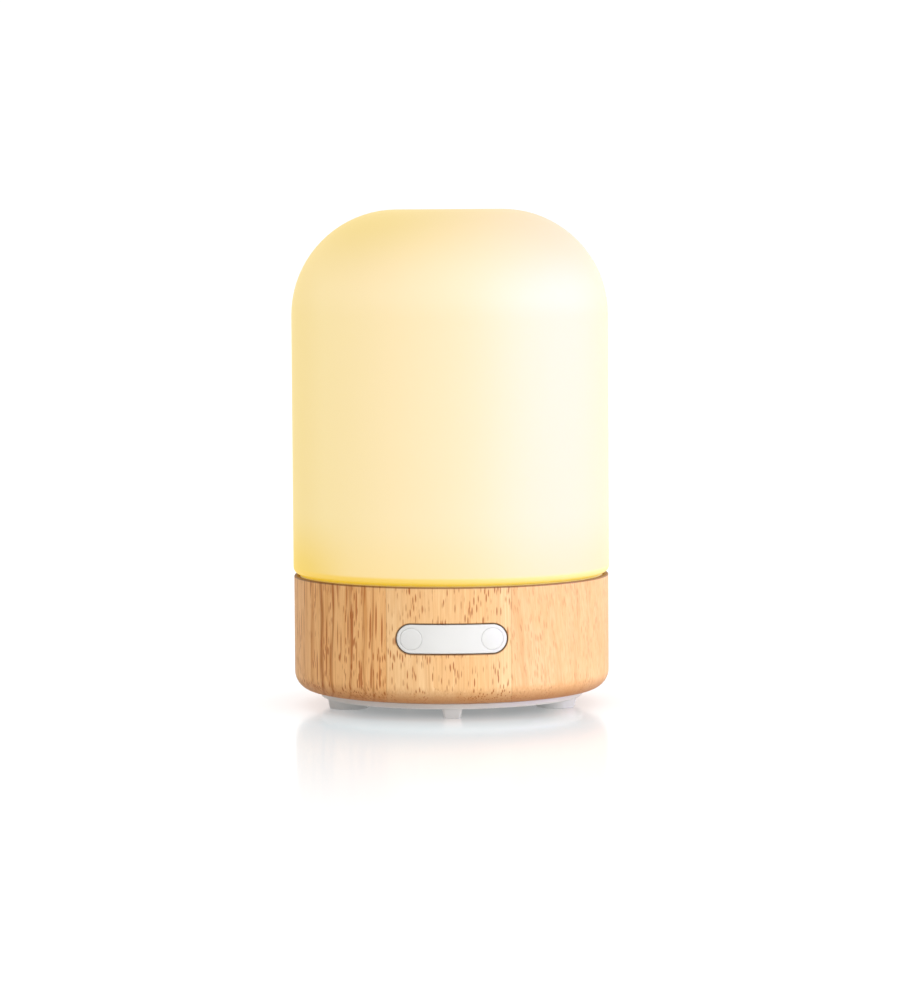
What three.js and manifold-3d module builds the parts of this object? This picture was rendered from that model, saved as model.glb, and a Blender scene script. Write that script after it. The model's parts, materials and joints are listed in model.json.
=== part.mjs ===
// An ultrasonic essential oil diffuser: a frosted glass dome over a water tank and its mist guide,
// on a turned rubberwood ring that hides the fan, the boards, the transducer and the two keys.
// Millimetres, +Z up, front towards -Y. The origin is the middle of the plane the feet stand on.
import * as THREE from "three";
import { mergeVertices } from "three/addons/utils/BufferGeometryUtils.js";
import Module from "manifold-3d";

const wasm = await Module();
wasm.setup();

// ---------------------------------------------------------------- driving dimensions
const HEIGHT = 141; // feet to the top of the dome
const DOME_RADIUS = 45;
const SEAM = 37.7; // height of the dome's lower edge
const GAP = 0.3; // clearance between pieces that rest on or fit in each other
const PILOT = 1.05; // radius of a hole that a small screw bites into
const CLEARANCE = 1.15; // radius of a hole that a small screw passes through
const SIDES = [-1, 1]; // left and right of the middle

const dome = { wall: 3, corner: 30, lip: 2.2, outlet: 7, outletEdge: 0.8 };
const wood = { radius: 44.8, bore: 35.6, bottom: 4.6, top: SEAM - 0.4, rounding: 5.4, rebate: 43.4 };
wood.rebateFloor = wood.top - 1.8;
const skirt = { outer: wood.bore - 0.4, wall: 2, bottom: 6.4 };
skirt.inner = skirt.outer - skirt.wall;
const tank = { inner: skirt.inner, rim: 70, floor: 33, underside: 31, slope: 2.4, outlet: 8 };
const flange = { radius: wood.rebate - GAP, top: SEAM - GAP, bottom: wood.rebateFloor + GAP };
const rib = { inner: 40, outer: 41.4, top: 41.5 };
const guide = { inner: skirt.outer + 0.4, wall: 1.6, bottom: 64, chimney: 6.2, neck: 8.6 };
guide.outer = guide.inner + guide.wall;
guide.top = HEIGHT - dome.wall - 1;
const cover = { radius: 37.4, bottom: 2.7, top: wood.bottom - GAP, rimOuter: skirt.inner - GAP };
cover.rimTop = skirt.bottom + 0.8;

const DEGREE = Math.PI / 180;
const feet = { circle: 30.8, radius: 5.9, taper: 0.4, inset: 0.5, angles: { right: 72, rear_right: 142 } };
const frontFoot = { y: -33.3, width: 5.8, depth: 5.6, chamfer: 0.9, narrowing: 0.83 };
const baseScrews = { circle: 30.4, angles: [48, 107, -107, -48], boss: 3.2, head: 2.6, well: 3, length: 12 };
const vents = { radius: 12.2, pitch: 2.6, halfWidth: 0.8, rows: 4 };

const keys = { height: 23, apart: 22.4, radius: 3, proud: 0.35, collar: -27.4, nub: -26.1 };
const plate = { width: 30, height: 7.6, face: wood.radius - 0.2, lip: 1.7, lipDepth: 1.2 };
const slot = { width: plate.width + 0.8, height: plate.height + 0.8 };
const keyBoard = { front: -22.4, thickness: 1.2, halfWidth: 14, bottom: 17.6, top: 27.2, screws: 6 };
keyBoard.postFront = keyBoard.front + keyBoard.thickness + GAP;
const tact = { half: 2.25, depth: 2.6, well: 1.4, plunger: 1.1 };

const disc = { radius: 10.4, plate: 0.5, ceramic: 7.8, ceramicDepth: 0.7, top: 29 };
const pocket = { radius: 11.2, outer: 17, bottom: 27.5 };
const retainer = { outer: 16.4, inner: 5.5, bottom: 25.4, top: 27.2, circle: 14.2, screws: [90, 210, 330] };

const ring = { inner: 18.6, outer: 29.5, bottom: 27.7, thickness: 1.1, halfSweep: 128 };
ring.lights = [-110, -70, -30, 30, 70, 110];
const fan = { side: 30, depth: 7, y: 11, bottom: 4.7, bore: 13.9, hub: 7.2, holes: 12, blades: 7 };
fan.top = fan.bottom + fan.depth;
const plenum = { wall: 1.3, bottom: fan.top + GAP, lowTop: 17.8, top: 23, halfChannel: 6.8 };
const duct = { y: 26, outer: 6.4, inner: 5, top: 67 };

const board = { radius: skirt.inner - 0.8, back: -6.2, bottom: 13, thickness: 1.6 };
board.screwX = 22;
board.screwY = -14;
board.top = board.bottom + board.thickness;
const jack = { z: 13.5, width: 9, height: 8, back: 28, shoulder: 35, mouth: 38.6, barrel: 4, bore: 3 };
jack.woodHole = 5.4;
const LEAD = 0.7; // radius of an insulated lead

// Facets round a full turn, by size of piece.
const FINE = 96;
const ROUND = 48;
const INSIDE = 36;
const MIDDLE = 24;
const SMALL = 12;
const TINY = 8;

// ---------------------------------------------------------------- materials
const finish = (color, roughness, metalness = 0) => ({ color, roughness, metalness });
const finishes = {
  frosted_glass: finish(0xfdf0c8, 0.55),
  rubberwood: finish(0xe3b47e, 0.5),
  white_plastic: finish(0xe9e9e7, 0.45),
  milky_plastic: finish(0xf3efe2, 0.4),
  silicone: finish(0xdcdcda, 0.7),
  board_green: finish(0x1f6a43, 0.5),
  black_plastic: finish(0x1c1c1e, 0.55),
  led_package: finish(0xf6e8a8, 0.35),
  steel: finish(0xb9bbbe, 0.35, 1),
  brass: finish(0xc9a659, 0.35, 1),
  copper: finish(0xb8693a, 0.4, 1),
  aluminium: finish(0xc4c6c8, 0.4, 1),
  red_wire: finish(0xb02a22, 0.5),
  black_wire: finish(0x202022, 0.5),
  ribbon_grey: finish(0x9a9ca0, 0.5),
};

// ---------------------------------------------------------------- shape helpers
// A closed geometry as a manifold-3d solid, for cutting and joining.
function solid(geometry) {
  const bare = geometry.index ? geometry.toNonIndexed() : geometry.clone();
  bare.deleteAttribute("normal");
  bare.deleteAttribute("uv");
  const merged = mergeVertices(bare, 1e-4);
  const vertProperties = merged.attributes.position.array;
  const triVerts = new Uint32Array(merged.index.array);
  return new wasm.Manifold(new wasm.Mesh({ numProp: 3, vertProperties, triVerts }));
}

// The geometry of a cut or joined solid.
function geometryOf(made) {
  const mesh = made.getMesh();
  const geometry = new THREE.BufferGeometry();
  geometry.setAttribute("position", new THREE.BufferAttribute(mesh.vertProperties, 3));
  geometry.setIndex(new THREE.BufferAttribute(mesh.triVerts, 1));
  const faceted = geometry.toNonIndexed();
  faceted.computeVertexNormals();
  return faceted;
}

const cut = (body, ...tools) => tools.reduce((made, tool) => made.subtract(solid(tool)), body);
const join = (body, ...others) => others.reduce((made, other) => made.add(solid(other)), body);

// Turns an outline of [radius, height] points about Z. It runs up the outside and down the inside.
function turned(outline, facets = ROUND) {
  const points = outline.map(([radius, height]) => new THREE.Vector2(radius, height));
  return new THREE.LatheGeometry(points, facets).rotateX(Math.PI / 2);
}

// A turned ring or tube of rectangular section.
function tube(inner, outer, low, high, facets = ROUND) {
  return turned([[inner, low], [outer, low], [outer, high], [inner, high], [inner, low]], facets);
}

// Points of an arc in the outline plane, both ends included, angles in degrees.
function arc(centreR, centreZ, radius, from, to, steps) {
  return Array.from({ length: steps + 1 }, (_, i) => {
    const a = (from + ((to - from) * i) / steps) * DEGREE;
    return [centreR + radius * Math.cos(a), centreZ + radius * Math.sin(a)];
  });
}

function box(x0, x1, y0, y1, z0, z1) {
  const made = new THREE.BoxGeometry(x1 - x0, y1 - y0, z1 - z0);
  return made.translate((x0 + x1) / 2, (y0 + y1) / 2, (z0 + z1) / 2);
}

// A peg along Z from low to high.
function peg(radius, low, high, x = 0, y = 0, facets = SMALL) {
  const made = new THREE.CylinderGeometry(radius, radius, high - low, facets);
  return made.rotateX(Math.PI / 2).translate(x, y, (low + high) / 2);
}

// A peg along Y.
function pegY(radius, near, far, x, z, facets = SMALL) {
  const made = new THREE.CylinderGeometry(radius, radius, far - near, facets);
  return made.translate(x, (near + far) / 2, z);
}

// A stadium, its long side along X, as thick as near to far along Y.
function stadium(width, height, near, far, z) {
  const half = height / 2;
  const reach = width / 2 - half;
  const shape = new THREE.Shape();
  shape.absarc(reach, 0, half, -Math.PI / 2, Math.PI / 2);
  shape.absarc(-reach, 0, half, Math.PI / 2, (3 * Math.PI) / 2);
  const options = { depth: far - near, bevelEnabled: false, curveSegments: 8 };
  const made = new THREE.ExtrudeGeometry(shape, options);
  return made.rotateX(Math.PI / 2).translate(0, far, z);
}

// A round lead along a smooth line through the points.
function lead(points, radius, steps) {
  const section = new THREE.Shape();
  section.absarc(0, 0, radius, 0, 2 * Math.PI);
  const extrudePath = new THREE.CatmullRomCurve3(points.map((p) => new THREE.Vector3(...p)));
  return new THREE.ExtrudeGeometry(section, { steps, curveSegments: 3, extrudePath });
}

// The place at an angle round the axis, 0 at the front and positive towards +X.
function around(circle, angle) {
  return [circle * Math.sin(angle * DEGREE), -circle * Math.cos(angle * DEGREE)];
}

// The same peg at each of several angles round the axis.
function pegsAround(circle, angles, radius, low, high, facets = TINY) {
  return angles.map((angle) => peg(radius, low, high, ...around(circle, angle), facets));
}

// A pan-head screw pointing down from the origin, its head above it.
function screw(shank, length, head, headHeight) {
  const outline = [
    [0, -length],
    [shank * 0.6, -length],
    [shank, -length + shank],
    [shank, 0],
    [head, 0],
    [head * 0.8, headHeight],
    [0, headHeight],
  ];
  return turned(outline, TINY);
}

const assembly = new THREE.Group();

function add(name, shape, slotName, parent = assembly) {
  const geometry = shape.isBufferGeometry ? shape : geometryOf(shape);
  const mesh = new THREE.Mesh(geometry, new THREE.MeshStandardMaterial(finishes[slotName]));
  mesh.name = name;
  parent.add(mesh);
  return mesh;
}

function section(x = 0, y = 0, z = 0) {
  const group = new THREE.Group();
  group.position.set(x, y, z);
  assembly.add(group);
  return group;
}

// ---------------------------------------------------------------- dome and mist guide
function domeShape() {
  const inner = DOME_RADIUS - dome.wall;
  const shoulder = HEIGHT - dome.corner;
  const flat = DOME_RADIUS - dome.corner;
  return turned([
    [inner + 0.3, SEAM],
    ...arc(DOME_RADIUS - dome.lip, SEAM + dome.lip, dome.lip, -90, 0, 3),
    ...arc(flat, shoulder, dome.corner, 0, 90, 8),
    ...arc(dome.outlet + dome.outletEdge, HEIGHT - dome.outletEdge, dome.outletEdge, 90, 180, 1),
    [dome.outlet, HEIGHT - dome.wall],
    ...arc(flat, shoulder, dome.corner - dome.wall, 90, 0, 6),
    [inner, SEAM + 0.3],
    [inner + 0.3, SEAM],
  ]);
}

// A cap over the tank's rim that sweeps up into a chimney under the dome's outlet.
function guideShape() {
  const roof = tank.rim + GAP + guide.wall;
  const sweep = (offset) =>
    new THREE.CubicBezierCurve(
      new THREE.Vector2(guide.outer - 2 - offset, roof - offset),
      new THREE.Vector2(24 - offset, roof + 5 - offset),
      new THREE.Vector2(10.5 - offset, roof + 8 - offset),
      new THREE.Vector2(guide.neck - offset, roof + 30),
    ).getPoints(6).map((p) => [p.x, p.y]);
  return turned([
    [guide.inner, guide.bottom],
    [guide.outer, guide.bottom],
    ...arc(guide.outer - 2, roof - 2, 2, 0, 90, 2).slice(0, -1),
    ...sweep(0),
    [guide.chimney, guide.top],
    [guide.chimney - guide.wall, guide.top],
    ...sweep(guide.wall).reverse(),
    [guide.inner, roof - guide.wall],
    [guide.inner, guide.bottom],
  ], INSIDE);
}

// ---------------------------------------------------------------- tank, wood and base
function tankShape() {
  const body = solid(turned([
    [tank.outlet, tank.underside],
    [skirt.inner, tank.underside],
    [skirt.inner, skirt.bottom],
    [skirt.outer, skirt.bottom],
    [skirt.outer, flange.bottom],
    [flange.radius, flange.bottom],
    [flange.radius, flange.top],
    [rib.outer, flange.top],
    [rib.outer, rib.top],
    [rib.inner, rib.top],
    [rib.inner, flange.top],
    [skirt.outer, flange.top],
    [skirt.outer, tank.rim],
    [tank.inner, tank.rim],
    [tank.inner, tank.floor + tank.slope + 2],
    [tank.inner - 2, tank.floor + tank.slope],
    [pocket.outer - 4, tank.floor],
    [tank.outlet, tank.floor],
    [tank.outlet, tank.underside],
  ], INSIDE));
  const bossTop = tank.underside + 0.5;
  const postBack = keyBoard.postFront + 3.6;
  const posts = SIDES.map((side) => {
    const x = side * keyBoard.screws;
    return box(x - 2, x + 2, keyBoard.postFront, postBack, keys.height - 3, bossTop);
  });
  const postHoles = SIDES.map((side) =>
    pegY(PILOT, keyBoard.postFront - 1, postBack - 0.6, side * keyBoard.screws, keys.height, TINY));
  const joined = join(
    body,
    tube(pocket.radius, pocket.outer, pocket.bottom, bossTop, MIDDLE),
    peg(duct.outer, tank.underside, duct.top, 0, duct.y, 16),
    ...pegsAround(baseScrews.circle, baseScrews.angles, baseScrews.boss, skirt.bottom + 1, bossTop, SMALL),
    ...posts,
  );
  const jackHalf = jack.width / 2 + GAP;
  const jackHigh = jack.height / 2 + GAP;
  return cut(
    joined,
    peg(duct.inner, tank.underside - 1, duct.top + 1, 0, duct.y, 16),
    stadium(slot.width, slot.height, -skirt.outer - 1, -skirt.inner + 4, keys.height),
    box(-jackHalf, jackHalf, skirt.inner - 4, skirt.outer + 1, jack.z - jackHigh, jack.z + jackHigh),
    ...pegsAround(baseScrews.circle, baseScrews.angles, CLEARANCE, skirt.bottom, 20),
    ...postHoles,
    ...pegsAround(retainer.circle, retainer.screws, PILOT, retainer.top - 1, disc.top + 1.4),
  );
}

function woodShape() {
  const body = solid(turned([
    [wood.bore, wood.bottom],
    ...arc(wood.radius - wood.rounding, wood.bottom + wood.rounding, wood.rounding, -90, 0, 5),
    [wood.radius, wood.top - 0.3],
    [wood.radius - 0.3, wood.top],
    [wood.rebate, wood.top],
    [wood.rebate, wood.rebateFloor],
    [wood.bore, wood.rebateFloor],
    [wood.bore, wood.bottom],
  ]));
  return cut(
    body,
    stadium(slot.width, slot.height, -wood.radius - 1, -wood.bore + 6, keys.height),
    pegY(jack.woodHole, wood.bore - 2, wood.radius + 1, 0, jack.z, 16),
  );
}

const seatPlay = 0.25; // how far a foot's seat stands clear of it
const footPlaces = Object.entries(feet.angles).flatMap(([place, angle]) => [
  [place, angle],
  [place.replace("right", "left"), -angle],
]);

function coverShape() {
  const body = solid(turned([
    [0, cover.bottom],
    [cover.radius - 0.4, cover.bottom],
    [cover.radius, cover.bottom + 0.4],
    [cover.radius, cover.top],
    [cover.rimOuter, cover.top],
    [cover.rimOuter, cover.rimTop],
    [cover.rimOuter - 1.4, cover.rimTop],
    [cover.rimOuter - 1.4, cover.top],
    [0, cover.top],
  ]));
  const seatTop = cover.bottom + feet.inset;
  const seatX = frontFoot.width / 2 + seatPlay;
  const seatY = frontFoot.depth / 2 + seatPlay;
  const posts = SIDES.map((side) =>
    peg(2.6, cover.top - 0.5, board.bottom - GAP, side * board.screwX, board.screwY));
  const holes = [
    ...SIDES.map((side) => peg(PILOT, 6, board.bottom, side * board.screwX, board.screwY, TINY)),
    ...SIDES.map((side) =>
      peg(PILOT, cover.bottom + 0.5, cover.top + 1, side * fan.holes, fan.y - side * fan.holes, TINY)),
    ...pegsAround(baseScrews.circle, baseScrews.angles, 1.6, 1, 9),
    ...pegsAround(baseScrews.circle, baseScrews.angles, baseScrews.well, 1, cover.bottom + 0.6, SMALL),
  ];
  const seats = [
    ...footPlaces.map(([, angle]) =>
      peg(feet.radius + seatPlay, 1, seatTop, ...around(feet.circle, angle), MIDDLE)),
    box(-seatX, seatX, frontFoot.y - seatY, frontFoot.y + seatY, 1, seatTop),
  ];
  const slots = [];
  for (let row = -vents.rows; row <= vents.rows; row += 1) {
    const reach = Math.sqrt(vents.radius ** 2 - (row * vents.pitch) ** 2);
    const y = fan.y + row * vents.pitch;
    slots.push(box(-reach, reach, y - vents.halfWidth, y + vents.halfWidth, 1, cover.top + 1));
  }
  return cut(join(body, ...posts), ...holes, ...seats, ...slots);
}

// A round silicone foot that stands in its seat in the cover.
const footTop = cover.bottom + feet.inset - seatPlay;

function footShape() {
  return turned([
    [0, 0],
    [feet.radius - feet.taper - 0.4, 0],
    [feet.radius - feet.taper, 0.3],
    [feet.radius, cover.bottom],
    [feet.radius, footTop],
    [0, footTop],
  ], 20);
}

// The front foot: a block with chamfered corners that narrows towards the floor.
function frontFootShape() {
  const x = frontFoot.width / 2;
  const y = frontFoot.depth / 2;
  const c = frontFoot.chamfer;
  const corners = [
    [x, y - c], [x - c, y], [c - x, y], [-x, y - c],
    [-x, c - y], [c - x, -y], [x - c, -y], [x, c - y],
  ];
  const shape = new THREE.Shape(corners.map(([px, py]) => new THREE.Vector2(px, py)));
  const made = new THREE.ExtrudeGeometry(shape, { depth: footTop, bevelEnabled: false });
  const at = made.attributes.position;
  for (let i = 0; i < at.count; i += 1) {
    const factor = at.getZ(i) < footTop / 2 ? frontFoot.narrowing : 1;
    at.setXY(i, at.getX(i) * factor, at.getY(i) * factor);
  }
  return made;
}

add("dome_cover", domeShape(), "frosted_glass");
add("mist_guide", guideShape(), "milky_plastic");
add("tank_housing", tankShape(), "milky_plastic");
add("wood_ring", woodShape(), "rubberwood");
add("bottom_cover", coverShape(), "white_plastic");
for (const [place, angle] of footPlaces) {
  const [x, y] = around(feet.circle, angle);
  add("foot_" + place, footShape(), "silicone").position.set(x, y, 0);
}
add("foot_front", frontFootShape(), "silicone").position.y = frontFoot.y;
baseScrews.angles.forEach((angle, i) => {
  const [x, y] = around(baseScrews.circle, angle);
  const place = section(x, y, cover.bottom + 0.3);
  const shape = screw(0.95, baseScrews.length, baseScrews.head, 0.9);
  add("base_screw_" + (i + 1), shape, "steel", place).rotation.x = Math.PI;
});

// ---------------------------------------------------------------- keys
// The stadium plate between the keys, with a lip behind it that seats inside the skirt.
function plateShape() {
  const lipOuter = skirt.inner - GAP;
  const lipInner = lipOuter - plate.lipDepth;
  const { width, height, lip } = plate;
  const front = solid(stadium(width, height, -DOME_RADIUS, -24, keys.height));
  const faced = front.intersect(solid(tube(lipInner, plate.face, 10, 34, FINE)));
  const wide = solid(stadium(width + 2 * lip, height + 2 * lip, -40, -24, keys.height));
  const seat = wide.intersect(solid(tube(lipInner, lipOuter, 10, 34, FINE)));
  const bores = SIDES.map((side) =>
    pegY(keys.radius + 0.2, -DOME_RADIUS, -24, (side * keys.apart) / 2, keys.height, MIDDLE));
  const core = stadium(keys.apart - 10, height - 2.4, -40.5, -24, keys.height);
  return cut(faced.add(seat), ...bores, core);
}

// A key: a round cap whose face follows the wood, a collar behind the plate and a nub for the switch.
function keyShape(side) {
  const x = (side * keys.apart) / 2;
  const cap = solid(pegY(keys.radius, -DOME_RADIUS - 1, keys.collar, x, keys.height, MIDDLE));
  const faced = cap.intersect(solid(tube(20, plate.face + keys.proud, 10, 34, FINE)));
  return join(
    faced,
    pegY(3.8, keys.collar - 0.2, keys.collar + 0.8, x, keys.height, MIDDLE),
    pegY(1.2, keys.collar + 0.6, keys.nub, x, keys.height),
  );
}

function switchShape() {
  const { half, depth, well } = tact;
  const body = solid(box(-half, half, keyBoard.front - depth, keyBoard.front - GAP, -half, half));
  return cut(body, pegY(well, keyBoard.front - depth - 1, keyBoard.front - 1.2, 0, 0));
}

function keyBoardShape() {
  const back = keyBoard.front + keyBoard.thickness;
  const { halfWidth, front, bottom, top, screws } = keyBoard;
  const holes = SIDES.map((side) => pegY(CLEARANCE, front - 1, back + 1, side * screws, keys.height, TINY));
  return cut(solid(box(-halfWidth, halfWidth, front, back, bottom, top)), ...holes);
}

add("button_plate", plateShape(), "white_plastic");
for (const [name, side] of [["light", -1], ["mist", 1]]) {
  add(name + "_button", keyShape(side), "white_plastic");
  const place = section((side * keys.apart) / 2, 0, keys.height);
  add(name + "_switch", switchShape(), "black_plastic", place);
  const plunger = pegY(tact.plunger, keys.nub + 0.4, keyBoard.front - 1.8, 0, 0);
  add(name + "_switch_plunger", plunger, "white_plastic", place);
}
add("button_board", keyBoardShape(), "board_green");
SIDES.forEach((side, i) => {
  const place = section(side * keyBoard.screws, keyBoard.front - GAP, keys.height);
  add("button_board_screw_" + (i + 1), screw(0.8, 4, 1.7, 1), "steel", place).rotation.x = Math.PI / 2;
});

// ---------------------------------------------------------------- transducer
const discShape = turned([
  [0, disc.top - disc.plate - disc.ceramicDepth],
  [disc.ceramic, disc.top - disc.plate - disc.ceramicDepth],
  [disc.ceramic, disc.top - disc.plate],
  [disc.radius, disc.top - disc.plate],
  [disc.radius, disc.top],
  [0, disc.top],
], MIDDLE);

function retainerShape() {
  const body = solid(turned([
    [retainer.inner, retainer.bottom],
    [retainer.outer, retainer.bottom],
    [retainer.outer, retainer.top],
    [disc.radius, retainer.top],
    [disc.radius, disc.top - disc.plate - GAP],
    [disc.ceramic + 0.6, disc.top - disc.plate - GAP],
    [disc.ceramic + 0.6, retainer.top - 0.6],
    [retainer.inner, retainer.top - 0.6],
    [retainer.inner, retainer.bottom],
  ], MIDDLE));
  return cut(body, ...pegsAround(retainer.circle, retainer.screws, CLEARANCE, 20, 30));
}

add("transducer_disc", discShape, "steel");
const sealLow = disc.top + GAP;
const sealHigh = tank.underside - 0.2;
add("transducer_seal", tube(tank.outlet + 0.2, pocket.radius - 0.2, sealLow, sealHigh, MIDDLE), "silicone");
add("transducer_retainer", retainerShape(), "white_plastic");
retainer.screws.forEach((angle, i) => {
  const [x, y] = around(retainer.circle, angle);
  const place = section(x, y, retainer.bottom - GAP);
  add("retainer_screw_" + (i + 1), screw(0.8, 4, 1.8, 0.9), "steel", place).rotation.x = Math.PI;
});

// ---------------------------------------------------------------- light ring
function ringShape() {
  const shape = new THREE.Shape();
  const start = -90 * DEGREE - ring.halfSweep * DEGREE;
  const end = -90 * DEGREE + ring.halfSweep * DEGREE;
  shape.absarc(0, 0, ring.outer, start, end, false);
  shape.absarc(0, 0, ring.inner, end, start, true);
  const options = { depth: ring.thickness, bevelEnabled: false, curveSegments: 18 };
  const body = solid(new THREE.ExtrudeGeometry(shape, options).translate(0, 0, ring.bottom));
  const notches = pegsAround(baseScrews.circle, baseScrews.angles, baseScrews.boss + 0.5, 20, 30, SMALL);
  const posts = SIDES.map((side) => {
    const x = side * keyBoard.screws;
    return box(x - 2.4, x + 2.4, keyBoard.front, -16, 20, 30);
  });
  return cut(body, ...notches, ...posts);
}

add("led_board", ringShape(), "board_green");
ring.lights.forEach((angle, i) => {
  const [x, y] = around((ring.inner + ring.outer) / 2 - 0.6, angle);
  const place = section(x, y, ring.bottom + ring.thickness + 0.2);
  place.rotation.z = angle * DEGREE;
  add("led_" + (i + 1), box(-1.75, 1.75, -1.4, 1.4, 0, 1.2), "led_package", place);
});

// ---------------------------------------------------------------- fan and plenum
function fanFrameShape() {
  const half = fan.side / 2;
  const body = solid(box(-half, half, -half, half, 0, fan.depth));
  const bore = peg(fan.bore, -1, fan.depth + 1, 0, 0, MIDDLE);
  const corners = [[-1, -1], [-1, 1], [1, -1], [1, 1]].map(([x, y]) =>
    peg(1.6, -1, fan.depth + 1, x * fan.holes, y * fan.holes, TINY));
  const struts = [30, 150, 270].map((angle) =>
    box(4, fan.bore + 0.4, -0.8, 0.8, fan.depth - 1, fan.depth).rotateZ(angle * DEGREE));
  const base = peg(6, fan.depth - 1, fan.depth);
  return join(cut(body, bore, ...corners), base, ...struts);
}

// The impeller: a cup over the motor, a shaft inside it and swept blades round it.
function rotorShape() {
  const high = fan.depth - 1.4;
  const cup = turned([
    [0, 0.5],
    [fan.hub, 0.5],
    [fan.hub, high],
    [fan.hub - 0.9, high],
    [fan.hub - 0.9, 1.4],
    [0.9, 1.4],
    [0.9, high - 0.4],
    [0, high - 0.4],
  ], MIDDLE);
  const blade = (i) =>
    box(fan.hub - 0.8, fan.bore - 0.7, -3.2, 3.2, -0.35, 0.35)
      .rotateX(38 * DEGREE)
      .translate(0, 0, (high + 0.5) / 2)
      .rotateZ(((2 * Math.PI) / fan.blades) * i);
  const blades = Array.from({ length: fan.blades }, (_, i) => blade(i));
  return join(solid(cup), ...blades);
}

const fanPlace = section(0, fan.y, fan.bottom);
add("fan_frame", fanFrameShape(), "black_plastic", fanPlace);
add("fan_rotor", rotorShape(), "black_plastic", fanPlace);
add("fan_stator", tube(1.4, fan.hub - 1.5, 1.9, fan.depth - 1.3, MIDDLE), "copper", fanPlace);

function plenumShape() {
  const half = fan.side / 2 + 0.8;
  const wall = plenum.wall;
  const channelFront = duct.y - 14;
  const channelBack = duct.y + duct.outer - 0.4;
  const outer = join(
    solid(box(-half, half, fan.y - half, fan.y + half, plenum.bottom, plenum.lowTop)),
    box(-plenum.halfChannel, plenum.halfChannel, channelFront, channelBack, plenum.lowTop, plenum.top),
    peg(duct.outer, plenum.top - 0.5, tank.underside - 0.8, 0, duct.y, 16),
  );
  const inner = half - wall;
  const channel = plenum.halfChannel - wall;
  return cut(
    outer,
    box(-inner, inner, fan.y - inner, fan.y + inner, plenum.bottom - 1, plenum.lowTop - wall),
    box(-channel, channel, channelFront + wall, fan.y + inner, plenum.lowTop - wall - 1, plenum.top - wall),
    box(-channel, channel, fan.y + inner - 1, channelBack - wall, plenum.lowTop + wall, plenum.top - wall),
    peg(duct.inner, plenum.top - wall - 1, tank.underside, 0, duct.y, 16),
    ...SIDES.map((side) => peg(CLEARANCE, 10, 30, side * fan.holes, fan.y - side * fan.holes, TINY)),
  );
}

add("air_plenum", plenumShape(), "white_plastic");
SIDES.forEach((side, i) => {
  const place = section(side * fan.holes, fan.y - side * fan.holes, plenum.lowTop + GAP);
  const shape = screw(0.8, plenum.lowTop - cover.bottom - 0.6, 1.9, 1.1);
  add("fan_screw_" + (i + 1), shape, "steel", place);
});

// ---------------------------------------------------------------- main board
function boardShape() {
  const body = solid(peg(board.radius, board.bottom, board.top, 0, 0, ROUND));
  const holes = SIDES.map((side) => peg(CLEARANCE, 10, 20, side * board.screwX, board.screwY, TINY));
  const notches = pegsAround(baseScrews.circle, baseScrews.angles, baseScrews.boss + 0.5, 10, 20, SMALL);
  return cut(body, box(-40, 40, board.back, 40, 10, 20), ...holes, ...notches);
}

// A drum-core coil: two flanges with the winding between them.
const coilShape = turned([
  [0, 0], [4, 0], [4, 1.2], [3.4, 1.2], [3.4, 5.2], [4, 5.2], [4, 6.4], [0, 6.4],
], 16);

const capacitorShape = turned([
  [0, 0], [3.15, 0], [3.15, 1], [2.9, 1.4], [3.15, 1.8], [3.15, 7.6], [2.9, 8], [0, 8],
], 16);

function heatSinkShape() {
  const fins = [-4, -2, 0, 2, 4].map((x) => box(x - 0.4, x + 0.4, -2.6, 2.6, 1, 7));
  return join(solid(box(-4.6, 4.6, -2.6, 2.6, 0, 1.4)), ...fins);
}

const onBoard = board.top + GAP;
add("main_board", boardShape(), "board_green");
add("inductor", coilShape, "copper", section(-12, -13, onBoard));
add("capacitor_1", capacitorShape, "aluminium", section(12, -10, onBoard));
add("capacitor_2", capacitorShape, "aluminium", section(12, -17.2, onBoard));
add("controller_chip", box(-3.2, 3.2, -2.6, 2.6, 0, 1.5), "black_plastic", section(0, -27.2, onBoard));
add("power_transistor", box(-3.3, 3.3, -3, 3, 0, 2.2), "black_plastic", section(0, -14.5, onBoard));
add("heat_sink", heatSinkShape(), "aluminium", section(0, -14.5, onBoard + 2.2 + GAP));
SIDES.forEach((side, i) => {
  const place = section(side * board.screwX, board.screwY, onBoard);
  add("board_screw_" + (i + 1), screw(0.8, 7, 1.9, 1.1), "steel", place);
});

// ---------------------------------------------------------------- power inlet
function jackShape() {
  const low = jack.z - jack.height / 2;
  const half = jack.width / 2;
  const body = solid(box(-half, half, jack.back, jack.shoulder, low, low + jack.height));
  return cut(
    join(body, pegY(jack.barrel, jack.shoulder - 1, jack.mouth, 0, jack.z, 16)),
    pegY(jack.bore, jack.back + 1.4, jack.mouth + 1, 0, jack.z, 16),
    pegY(1.35, jack.back - 1, jack.back + 2, 0, jack.z, TINY),
  );
}

add("dc_jack", jackShape(), "black_plastic");
add("dc_jack_pin", pegY(1, jack.back - 0.6, jack.mouth - 0.8, 0, jack.z), "brass");

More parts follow.
